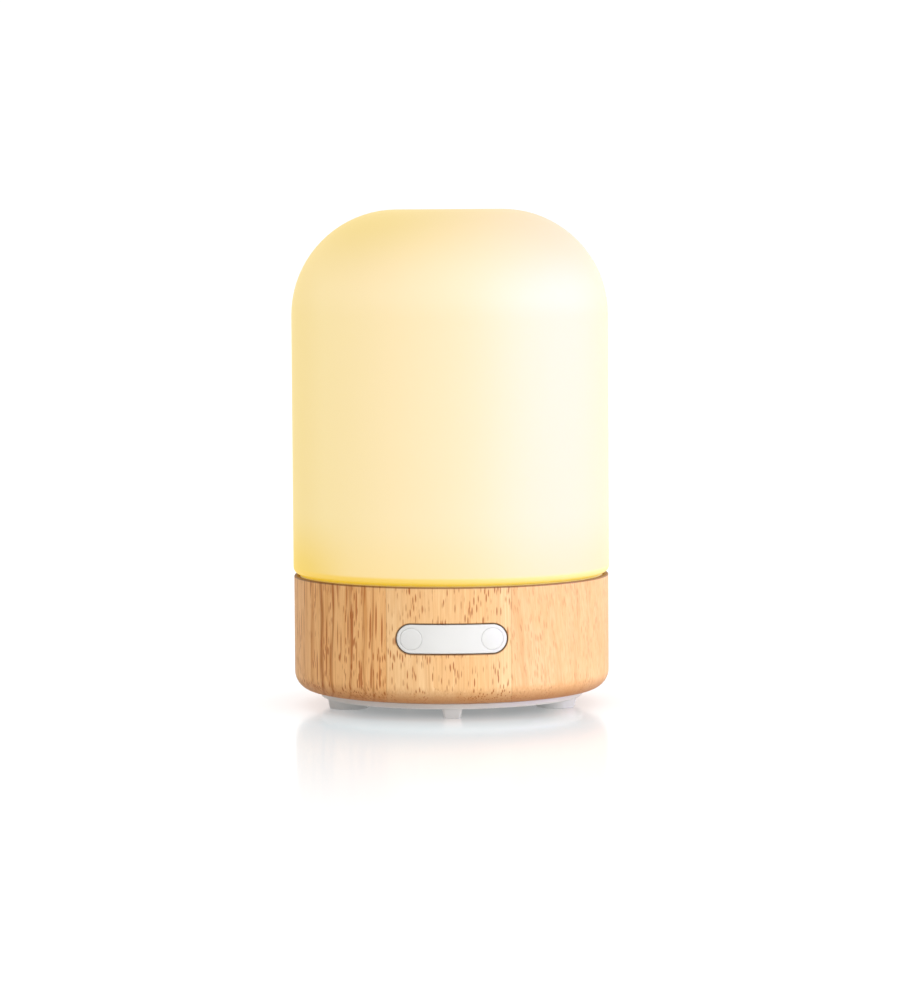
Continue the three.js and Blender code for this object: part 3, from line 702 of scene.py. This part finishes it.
def make_cover():
    """The base plate with its foot seats, screw wells and the fan's vents."""
    low, top, radius = cover_low.z, WOOD_BOTTOM - 0.3, cover_high.x
    cover = turned("base_cover", [(0, low), (radius, low, 0.5), (radius, top, 0.2), (0, top)])
    tools = []
    for name in ROUND_FEET:
        spot = middle_of(name)
        tools.append(turned("seat", [
            (0, 0), (6.2, 0), (6.2, low), (6.05, low + 0.5), (0, low + 0.5)], SMALL, spot.x, spot.y))
    for name in BASE_SCREWS:
        spot = middle_of(name)
        tools.append(turned("well", [
            (0, 0), (3.2, 0), (3.0, low + 0.6), (1.6, low + 0.8), (1.6, 8), (0, 8)], TINY, spot.x, spot.y))
    fan_y, vents_r, pitch = middle_of("fan_frame").y, 12.2, 2.6
    for row in range(-4, 5):
        reach = math.sqrt(vents_r ** 2 - (row * pitch) ** 2)
        tools.append(shift(prism("vent", stadium(2 * reach, 1.6, TINY), 0, 8), y=fan_y + row * pitch))
    return cut(cover, *tools)


def make_round_foot(name):
    """A round pad, hollowed underneath."""
    low, high = node_box(name)
    spot, radius, top, hollow = middle_of(name), (high.x - low.x) / 2, high.z, 0.12
    return turned(name + "_pad", [
        (0, hollow), (radius * 0.5, hollow), (radius * 0.6, 0), (radius - 0.5, 0, 0.35),
        (radius, top - 0.3, 0.2), (radius, top), (0, top)], SMALL, spot.x, spot.y)


def make_front_foot():
    """A small block with a narrower lower end."""
    low, high = node_box("foot_front")
    x, y, middle, top = (high.x - low.x) / 2, (high.y - low.y) / 2, (low.y + high.y) / 2, high.z
    outline = rounded([(x, -y, 0.9), (x, y, 0.9), (-x, y, 0.9), (-x, -y, 0.9)], steps=3)
    narrow = 0.83  # the lower end's share of the top's width
    levels = ((0, narrow - 0.06), (0.1, narrow - 0.02), (0.3, narrow), (top - 0.1, 1.0), (top, 0.98))
    loops = [[(p.x * scale, middle + p.y * scale, z) for p in outline] for z, scale in levels]
    return loft("front_foot_pad", loops)


place(make_cover(), "base", "white_plastic", "bottom_cover")
for name in ROUND_FEET:
    place(make_round_foot(name), "base", "silicone", name)
place(make_front_foot(), "base", "silicone", "foot_front")


# ---------------------------------------------------------------- mist guide and tank
def bezier(*points):
    """A cubic curve from the first of four points to the last, drawn towards the two between them."""
    steps = 24
    curve = []
    for k in range(steps + 1):
        f = k / steps
        g = 1 - f
        weights = (g ** 3, 3 * g * g * f, 3 * g * f * f, f ** 3)
        curve.append(tuple(sum(w * p[i] for w, p in zip(weights, points)) for i in (0, 1)))
    return curve


def make_guide():
    """The cap over the tank, swept up into the chimney, with a thickened rim and a bead round its mouth."""
    wall, neck, chimney, bead = 1.6, 8.6, 6.2, 0.25
    outside, top = guide_high.x, guide_high.z
    roof = tank_high.z + 0.3 + wall

    def sweep(inset):
        return bezier((outside - 2.4 - inset, roof - inset), (24 - inset, roof + 5 - inset),
                      (10.5 - inset, roof + 8 - inset), (neck - inset, roof + 30))
    return turned("guide_cap", [
        (outside - wall, guide_low.z, 0.4), (outside, guide_low.z, 0.4), (outside, roof, 2.2),
        *sweep(0)[1:],
        (chimney + bead, top - 3, 1.0), (chimney + bead, top, 0.6), (chimney - wall, top, 0.5),
        *sweep(wall)[::-1][:-1],
        (outside - wall, roof - wall, 0.5)])


def make_tank():
    """The tank with its pocket, air duct and skirt, and the flange and rib that seat the dome."""
    inside, outside, skirt_low = 33.2, 35.2, tank_low.z
    flange_r, flange_low, flange_top = tank_high.x, WOOD_TOP - 1.5, SEAM - 0.3
    rib_in, rib_out, rib_top = 40, 41.4, 41.5
    rim, floor, under, drain = tank_high.z, 33.0, 31.0, 8
    body = turned("tank", [
        (drain, under, 0.3), (inside, under, 0.6), (inside, skirt_low, 0.3), (outside, skirt_low, 0.3),
        (outside, flange_low, 0.4), (flange_r, flange_low, 0.3), (flange_r, flange_top, 0.4),
        (rib_out, flange_top, 0.3), (rib_out, rib_top, 0.5), (rib_in, rib_top, 0.5),
        (rib_in, flange_top, 0.3), (outside, flange_top, 0.5), (outside, rim, 0.7), (inside, rim, 0.7),
        (inside, floor + 3.6, 3.0), (13, floor, 6.0), (drain, floor, 0.5)])
    pocket = turned("pocket", [
        (11.2, 27.5, 0.2), (17, 27.5, 0.4), (17, under + 0.6), (11.2, under + 0.6)], MEDIUM)
    duct_y, duct_in, duct_out, duct_top = 26, 4.9, 6.4, 67
    duct = turned("duct", [
        (duct_in, under), (duct_out, under), (duct_out, duct_top, 0.5), (duct_in, duct_top, 0.5)],
        SMALL, 0, duct_y)
    bosses = []
    for name in BASE_SCREWS:
        spot = middle_of(name)
        bosses.append(turned("boss", [(1.2, 7.4, 0.1), (3.2, 7.4, 0.4), (3.2, 31.4), (1.2, 31.4)],
                             TINY, spot.x, spot.y))
    marks = []
    for level, reach in ((40, 5), (47, 3.5), (54, 3.5), (61, 5)):
        # raised marks on the tank's wall, the longer ones at the least and the most water
        mark = prism("mark", stadium(0.9, 0.5, TINY, straight=2), -reach, reach, edge=0.2)
        marks.append(shift(spin(mark, 90, "X"), x=-inside + 0.1, z=level))
    body = join(body, pocket, duct, *bosses, *marks)
    low, high = under - 6, duct_top + 2  # well past both ends of the duct
    bore = revolve("bore", [(0, low), (duct_in, low), (duct_in, high), (0, high)], SMALL, 0, duct_y)
    window = front_solid("window", stadium_at(WINDOW), [(inside - 4, 0), (outside + 1, 0)])
    hatch = prism("hatch", rectangle(-4.8, 29, 4.8, 37, 0.5), JACK_Z - 4.3, JACK_Z + 4.3)
    return cut(body, bore, window, hatch)


place(make_guide(), "guide", "milky_plastic", "mist_guide")
place(make_tank(), "base", "milky_plastic", "tank_housing")


# ---------------------------------------------------------------- disc, seal and screws
def make_disc():
    """The steel membrane, domed at its middle where the mist rises, over its ceramic ring."""
    low, high = node_box("transducer_disc")
    bottom, top = low.z, high.z
    return turned("membrane", [
        (0, bottom), (7.8, bottom, 0.15), (7.8, top - 0.5, 0.1), (high.x, top - 0.5, 0.1),
        (high.x, top - 0.15, 0.1), (3.2, top - 0.15, 0.3), (2.4, top - 0.02, 0.3), (0, top)], MEDIUM)


def make_seal():
    low, high = node_box("transducer_seal")
    return revolve("seal", rectangle(8.2, low.z, high.x, high.z, 0.5), MEDIUM)


def make_screw(name, facing, low, high):
    """A pan-head screw with a cross recess and ring threads, its head facing up, down or front."""
    head = (high.x - low.x) / 2
    along = high.y - low.y if facing == "front" else high.z - low.z
    rise, shank = head * 0.42, head * 0.40
    root, pitch = shank * 0.72, shank * 0.8
    tip = rise - along
    outline = [(0, tip), (shank * 0.45, tip)]
    z = tip + shank
    while z + pitch < 0:
        outline += [(root, z), (shank, z + pitch * 0.5)]
        z += pitch
    outline += [(root, -0.05), (root, 0)]
    outline += rounded([
        (head, 0), (head * 0.94, rise * 0.7, rise * 0.5), (head * 0.5, rise, rise * 0.2), (0, rise)])
    screw = revolve(name, outline, TINY)
    arm, half, deep = head * 0.55, head * 0.11, rise * 0.75
    blades = []
    for turn in (20, 110):
        blade = prism("recess", rectangle(-arm, -half, arm, half), rise - deep, rise + 1)
        blades.append(spin(blade, turn))
    screw = cut(screw, join(*blades))
    middle = (low + high) / 2
    if facing == "up":
        return shift(screw, middle.x, middle.y, high.z - rise)
    if facing == "down":
        return shift(spin(screw, 180, "X"), middle.x, middle.y, low.z + rise)
    return shift(spin(screw, 90, "X"), middle.x, low.y + rise, middle.z)


place(make_disc(), "base", "steel", "transducer_disc")
place(make_seal(), "base", "silicone", "transducer_seal")
SCREWS = {
    "down": BASE_SCREWS + [f"retainer_screw_{k}" for k in range(1, 4)],
    "up": ["fan_screw_1", "fan_screw_2", "board_screw_1", "board_screw_2"],
    "front": ["button_board_screw_1", "button_board_screw_2"],
}
for facing, names in SCREWS.items():
    for name in names:
        place(make_screw(name + "_fine", facing, *node_box(name)), "base", "steel", name)


# ---------------------------------------------------------------- lamps and what is on the boards
def block(name, low, high, edge, corner=0.0):
    """A box with rounded rims and, if asked, rounded upright corners."""
    outline = rectangle(low.x, low.y, high.x, high.y, corner, steps=4)
    return prism(name, outline, low.z, high.z, edge, steps=3)


def make_chip(name, legs):
    """A moulded package with a row of bent leads down two sides and a dimple at its first lead."""
    low, high = node_box(name)
    bottom, top = low.z, high.z
    body = block(name + "_body", Vector((low.x, low.y + 0.8, bottom + 0.15)),
                 Vector((high.x, high.y - 0.8, top)), 0.15)

    def lead(x, y, reach, bottom, top):
        near, far = sorted((y, y + reach))
        return block("lead", Vector((x - 0.16, near, bottom)), Vector((x + 0.16, far, top)), 0.0)
    leads = []
    for k in range(legs):
        x = low.x + (high.x - low.x) * (k + 0.5) / legs
        for y, inward in ((low.y, 1), (high.y, -1)):
            leads.append(lead(x, y, inward * 0.7, bottom, bottom + 0.16))
            leads.append(lead(x, y + inward * 0.5, inward * 0.7, bottom + 0.05, (bottom + top) / 2))
    dimple = revolve("dimple", [(0, top - 0.12), (0.35, top - 0.12), (0.35, top + 1), (0, top + 1)],
                     TINY, low.x + 0.8, low.y + 1.6)
    return join(cut(body, dimple), *leads)


def make_lamp(name):
    """A lamp turned outwards: a frame round a slightly sunk phosphor window."""
    lamp = block(name + "_lamp", Vector((-1.75, -1.4, 0)), Vector((1.75, 1.4, 1.2)), 0.12, 0.2)
    pit = block("pit", Vector((-1.35, -1.05, 1.05)), Vector((1.35, 1.05, 2)), 0.0, 0.3)
    spot = middle_of(name)
    spin(cut(lamp, pit), math.degrees(math.atan2(spot.x, -spot.y)))
    return shift(lamp, spot.x, spot.y, node_box(name)[0].z)


def make_can(name):
    """An aluminium capacitor in its sleeve: a waist near the foot, a rolled shoulder and a scored top."""
    low, high = node_box(name)
    spot, r, bottom, top = middle_of(name), (high.x - low.x) / 2, low.z, high.z
    can = turned(name + "_can", [
        (0, bottom), (r - 0.1, bottom, 0.3), (r, bottom + 0.9, 0.2), (r - 0.35, bottom + 1.3, 0.3),
        (r, bottom + 1.7, 0.3), (r, top - 0.1, 0.5), (r - 0.5, top, 0.1), (r - 0.7, top - 0.15, 0.1),
        (0, top - 0.15)], SMALL, spot.x, spot.y)
    scores = []
    for turn in (0, 60, 120):
        score = prism("score", stadium(2 * r - 1.8, 0.16, TINY, straight=2), top - 0.3, top + 1)
        scores.append(shift(spin(score, turn), spot.x, spot.y))
    return cut(can, join(*scores))


def make_coil():
    """A drum core with nine turns of wire between its flanges."""
    low, high = node_box("inductor")
    spot, flange, thick, neck = middle_of("inductor"), 4, 1.2, 3.3
    winding_r, wire, turns, space = 3.2, 0.22, 9, 4.0
    bottom, top = low.z, high.z
    outline = rounded([(0, bottom), (flange, bottom), (flange, bottom + thick, 0.3), (neck, bottom + thick)])
    outer_side = (-1.2, -0.6, 0, 0.6, 1.2)  # angles round a wire
    for k in range(turns):
        z = bottom + thick + (k + 0.5) * space / turns
        outline += [(winding_r + wire * math.cos(a), z + wire * math.sin(a)) for a in outer_side]
    outline += rounded([(neck, top - thick), (flange, top - thick, 0.3), (flange, top, 0.3), (0, top)])
    return revolve("coil", outline, SMALL, spot.x, spot.y)


place(make_chip("controller_chip", legs=8), "base", "black_plastic", "controller_chip")
for k in range(1, 7):
    place(make_lamp(f"led_{k}"), "base", "led_package", f"led_{k}")
place(make_can("capacitor_1"), "base", "aluminium", "capacitor_1")
place(make_can("capacitor_2"), "base", "aluminium", "capacitor_2")
place(make_coil(), "base", "copper", "inductor")


# ---------------------------------------------------------------- fan and power inlet
def make_fan_frame():
    """A square frame with a flared bore, corner holes for screws, and three struts to the motor."""
    low, high = node_box("fan_frame")
    spot, bottom, top = middle_of("fan_frame"), low.z, high.z
    shell = block("fan_shell", low, high, 0.3, 2.4)
    bore, flare = 13.9, 14.6
    tools = [turned("flare", [
        (0, bottom - 1), (flare, bottom - 1), (flare, bottom, 0.3), (bore, bottom + 1.2, 0.8),
        (bore, top - 1.2, 0.8), (flare, top, 0.3), (flare, top + 1), (0, top + 1)],
        MEDIUM, spot.x, spot.y)]
    hole = [(0, bottom - 1), (1.6, bottom - 1), (1.6, top + 1), (0, top + 1)]
    for x in (-12, 12):
        for y in (-12, 12):
            tools.append(revolve("hole", hole, TINY, spot.x + x, spot.y + y))
    seat = turned("motor_seat", [(0, top - 1), (6, top - 1, 0.3), (6, top, 0.3), (0, top)],
                  SMALL, spot.x, spot.y)
    struts = []
    for turn in (30, 150, 270):
        strut = prism("strut", stadium(10.4, 1.4, TINY, straight=2), top - 1, top - 0.02, 0.25)
        struts.append(shift(spin(shift(strut, x=9.4), turn), spot.x, spot.y))
    return join(cut(shell, *tools), seat, *struts)


def fan_blade(centre, bottom, top, turn):
    """A cambered blade from the hub out, which grows wider and flatter and sweeps round towards its tip."""
    root, tip, steps, across = 6.6, 13.1, 8, 6
    sections = []
    for k in range(steps + 1):
        f = k / steps
        radius = root + (tip - root) * f
        half, tilt, sweep = 2.5 + 0.5 * f, math.radians(46 - 16 * f), 0.16 * f * f
        section = []
        for side in (1, -1):
            for n in range(across + 1):
                c = (n / across * 2 - 1) * side
                u, v = half * c, 0.35 * (1 - c * c) + 0.32 * (1 - 0.75 * c * c) * side
                z = (bottom + top) / 2 + u * math.sin(tilt) * 0.98 + v * math.cos(tilt)
                a = (u * math.cos(tilt) - v * math.sin(tilt)) / radius + sweep + turn
                section.append((centre.x + radius * math.cos(a), centre.y + radius * math.sin(a),
                                min(max(z, bottom + 0.1), top - 0.1)))
        sections.append(section)
    return loft("blade", sections)


def make_rotor():
    """Seven blades round a hub that is open at the top round its shaft."""
    spot, frame_low, count = middle_of("fan_frame"), node_box("fan_frame")[0].z, 7
    bottom, top = frame_low + 0.5, frame_low + 5.6
    hub = turned("hub", [
        (0, bottom), (7.2, bottom, 0.7), (7.2, top, 0.2), (6.3, top, 0.2), (6.3, bottom + 0.9, 0.3),
        (0.9, bottom + 0.9, 0.2), (0.9, top - 0.4, 0.1), (0, top - 0.4)], MEDIUM, spot.x, spot.y)
    return join(hub, *[fan_blade(spot, bottom, top, 2 * math.pi * k / count) for k in range(count)])


def make_jack():
    """The inlet: a moulded body with a round barrel, its bore chamfered at the mouth."""
    mouth, shoulder = jack_high.y, 35
    body = block("jack_body", jack_low, Vector((jack_high.x, shoulder, jack_high.z)), 0.3, 0.4)
    barrel = turned("barrel", [(0, shoulder - 1), (4, shoulder - 1), (4, mouth, 0.4), (0, mouth)], SMALL)
    bore = revolve("bore", [
        (0, 29.4), (3, 29.4), (3, mouth - 0.4), (3.4, mouth + 0.1), (3.4, 42), (0, 42)], SMALL)
    for tool in (barrel, bore):
        shift(turn_to_y(tool), z=JACK_Z)
    return cut(join(body, barrel), bore)


place(make_fan_frame(), "base", "black_plastic", "fan_frame")
place(make_rotor(), "fan_wheel", "black_plastic", "fan_rotor")
place(make_jack(), "base", "black_plastic", "dc_jack")

# ---------------------------------------------------------------- CAD nodes that keep their shape
slots = {part["node"]: part["material_slot"] for part in frame["record"]["subparts"]}
for name, node in frame["nodes"].items():
    if not node.hide_render:
        node.data.materials.clear()
        node.data.materials.append(finishes[slots[name]])


# ---------------------------------------------------------------- floor, light and camera
def floor_material():
    """Back-lit white acrylic, glossier near the object. Its glow is painted weaker where the object stands,
    as a painted contact shadow.
    """
    t = Tree("floor")
    cloud = t.noise(t.cubes(0.5), detail=1.0)
    out = t.length(t.axis("X"), t.axis("Y"))  # from the middle of the object
    # painted contact shadow: the glow falls off under and close to the object, and grows a little far out
    glow = t.range(out, 0.024, 0.047, 0.33, 0.73, smooth=True)
    glow = t.plus(glow, t.range(out, 0.10, 0.30, 0.0, 0.05))
    t.set(Base_Color=t.mix(cloud, colour(148, 148, 148), colour(150, 150, 150)), Roughness=1.0)
    t.set(Specular_IOR_Level=0.0, Emission_Color=(1, 1, 1, 1), Emission_Strength=glow)
    # a cool tint turns the warm mirror image grey, and the rest, a painted glow in the opposite tint,
    # gives back what the tint takes from white; it is weaker close to the object
    gloss = t.node("ShaderNodeBsdfGlossy", {"Color": (1.0, 0.79, 0.71, 1.0), "Roughness": 0.13})
    rest = t.node("ShaderNodeEmission", {
        "Color": (0.0, 0.21, 0.29, 1.0), "Strength": t.range(out, 0.040, 0.060, 0.3, 1.1)})
    mirror = t.node("ShaderNodeAddShader", {0: gloss, 1: rest})
    share = t.range(out, 0.045, 0.30, 0.48, 0.05)
    seen = t.node("ShaderNodeMixShader", {0: share, 1: t.shader.outputs[0], 2: mirror})
    # light that the floor scatters is set apart: dull, with a glow under the object that lights its feet
    dull = t.node("ShaderNodeBsdfDiffuse", {"Color": (0.57, 0.57, 0.57, 1.0)})
    lit = t.node("ShaderNodeEmission", {
        "Color": (1.0, 1.0, 1.0, 1.0), "Strength": t.range(out, 0.045, 0.075, 0.19, 0.0)})
    scattered = t.node("ShaderNodeAddShader", {0: dull, 1: lit})
    diffuse = t.node("ShaderNodeLightPath", out="Is Diffuse Ray")
    surface = t.node("ShaderNodeMixShader", {0: diffuse, 1: seen, 2: scattered})
    t.links.new(surface, t.nodes["Material Output"].inputs["Surface"])
    return t.material


def make_floor():
    made = prism("floor", circle(6000, 96), -20, 0)
    made.data.materials.append(floor_material())


def add_lamp(name, kind):
    """A new light of that kind and the object that holds it."""
    light = bpy.data.lights.new(name, kind)
    lamp = bpy.data.objects.new(name, light)
    bpy.context.scene.collection.objects.link(lamp)
    return light, lamp


def softbox(name, where, size, watts, tint=(1, 1, 1)):
    """A rectangular light that faces the object's middle."""
    light, lamp = add_lamp(name, "AREA")
    light.shape = "RECTANGLE"
    light.size, light.size_y = size
    light.energy = watts
    light.color = tint
    middle = Vector((0, 0, 0.07))
    lamp.location = where
    lamp.rotation_euler = (middle - Vector(where)).to_track_quat("-Z", "Y").to_euler()
    return lamp


def make_world(wall, dim, bright):
    """A white backdrop, in a room that lights the object from dim on the left to bright on the right."""
    world = bpy.data.worlds.new("studio")
    world.use_nodes = True
    nodes, links = world.node_tree.nodes, world.node_tree.links
    backdrop, room = nodes["Background"], nodes.new("ShaderNodeBackground")
    for shader in (backdrop, room):
        shader.inputs["Color"].default_value = (1, 1, 1, 1)
    backdrop.inputs["Strength"].default_value = wall
    direction = nodes.new("ShaderNodeSeparateXYZ")
    links.new(nodes.new("ShaderNodeTexCoord").outputs["Generated"], direction.inputs[0])
    strength = nodes.new("ShaderNodeMapRange")
    for key, value in {"From Min": -1, "From Max": 1, "To Min": dim, "To Max": bright}.items():
        strength.inputs[key].default_value = value
    links.new(direction.outputs["X"], strength.inputs["Value"])
    links.new(strength.outputs[0], room.inputs["Strength"])
    mix = nodes.new("ShaderNodeMixShader")
    links.new(nodes.new("ShaderNodeLightPath").outputs["Is Diffuse Ray"], mix.inputs[0])
    links.new(backdrop.outputs[0], mix.inputs[1])
    links.new(room.outputs[0], mix.inputs[2])
    links.new(mix.outputs[0], nodes["World Output"].inputs[0])
    bpy.context.scene.world = world


def make_light():
    """A pale room, a broad light above, a softbox on the right, and a blue card that only gloss shows."""
    make_world(wall=1.05, dim=0.36, bright=1.18)
    sky, lamp = add_lamp("overhead", "SUN")
    sky.energy = 1.5
    sky.angle = math.radians(80)
    lamp.rotation_euler = (math.radians(12), math.radians(8), 0)
    softbox("key", where=(0.7, -0.70, 0.30), size=(0.6, 0.8), watts=3.4)
    card = softbox("card", where=(0.90, -0.24, 0.20), size=(1.5, 0.9), watts=24.0, tint=(0.30, 0.22, 1.0))
    card.visible_diffuse = False


def make_camera():
    """Level with the dome's top, looking slightly down from a long way off."""
    distance, focal, sensor = 1.166, 147.6, 36.0
    pitch, yaw, roll = math.radians(4.06), math.radians(0.156), math.radians(-0.35)
    camera = bpy.data.objects.new("camera", bpy.data.cameras.new("camera"))
    camera.data.lens = focal
    camera.data.sensor_width = sensor
    stand = Matrix.Translation((0, -distance, TOP * MM))
    turn = Matrix.Rotation(-yaw, 4, "Z") @ Matrix.Rotation(math.pi / 2 - pitch, 4, "X")
    camera.matrix_world = stand @ turn @ Matrix.Rotation(roll, 4, "Z")
    bpy.context.scene.collection.objects.link(camera)
    bpy.context.scene.camera = camera


make_floor()
make_light()
make_camera()
bpy.context.scene.view_settings.view_transform = "Standard"
